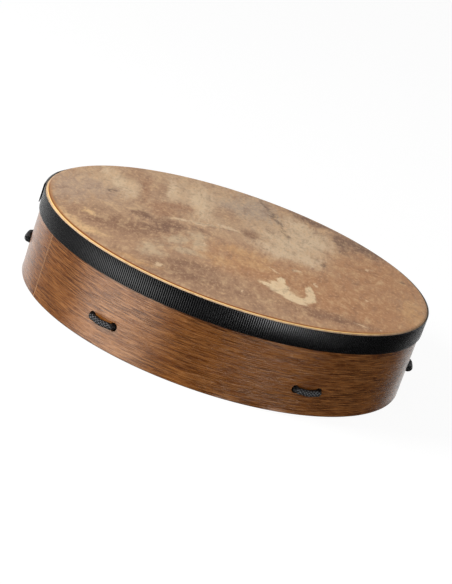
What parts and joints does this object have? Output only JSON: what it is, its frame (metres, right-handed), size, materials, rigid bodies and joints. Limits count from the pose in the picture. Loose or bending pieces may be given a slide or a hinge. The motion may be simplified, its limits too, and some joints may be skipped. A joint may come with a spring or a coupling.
{
  "type": "frame drum",
  "caption": "Round wooden frame drum with a skin head held by a webbing band, and a cord-laced, cord-wound grip ring across its open back.",
  "frame": {"origin": "centre of the open back edge, on the surface that the drum stands on", "axes": "+Z from the open back to the head, along the drum's axis; +X through the stitch on the right of the picture, -Y towards the camera"},
  "size_m": [0.5256, 0.5128, 0.1116],
  "materials": {
    "walnut": "stained, semi-matte",
    "goat_skin": "natural mottled rawhide, matte",
    "webbing": "ribbed webbing",
    "cord": "braided cord",
    "ring_steel": "plain rod"
  },
  "bodies": {
    "frame": {"frame_hoop": "walnut", "drum_head": "goat_skin", "webbing_band": "webbing", "cord_stitch_1": "cord", "cord_stitch_2": "cord", "cord_stitch_3": "cord", "cord_stitch_4": "cord", "cord_stitch_5": "cord", "cord_stitch_6": "cord", "lacing_strand_1a": "cord", "lacing_strand_1b": "cord", "lacing_strand_2a": "cord", "lacing_strand_2b": "cord", "lacing_strand_3a": "cord", "lacing_strand_3b": "cord", "lacing_strand_4a": "cord", "lacing_strand_4b": "cord", "lacing_strand_5a": "cord", "lacing_strand_5b": "cord", "lacing_strand_6a": "cord", "lacing_strand_6b": "cord"},
    "grip": {"grip_ring": "ring_steel", "ring_winding_1": "cord", "ring_winding_2": "cord", "ring_winding_3": "cord", "ring_winding_4": "cord", "ring_winding_5": "cord", "ring_winding_6": "cord"}
  },
  "joints": [
    {"name": "grip_give", "type": "slide", "parent": "frame", "child": "grip", "axis": [0, 0, 1], "range_m": [-0.015, 0.015], "stiffness_N_per_m": 1100, "deforming": ["lacing_strand_1a", "lacing_strand_1b", "lacing_strand_2a", "lacing_strand_2b", "lacing_strand_3a", "lacing_strand_3b", "lacing_strand_4a", "lacing_strand_4b", "lacing_strand_5a", "lacing_strand_5b", "lacing_strand_6a", "lacing_strand_6b"]}
  ]
}
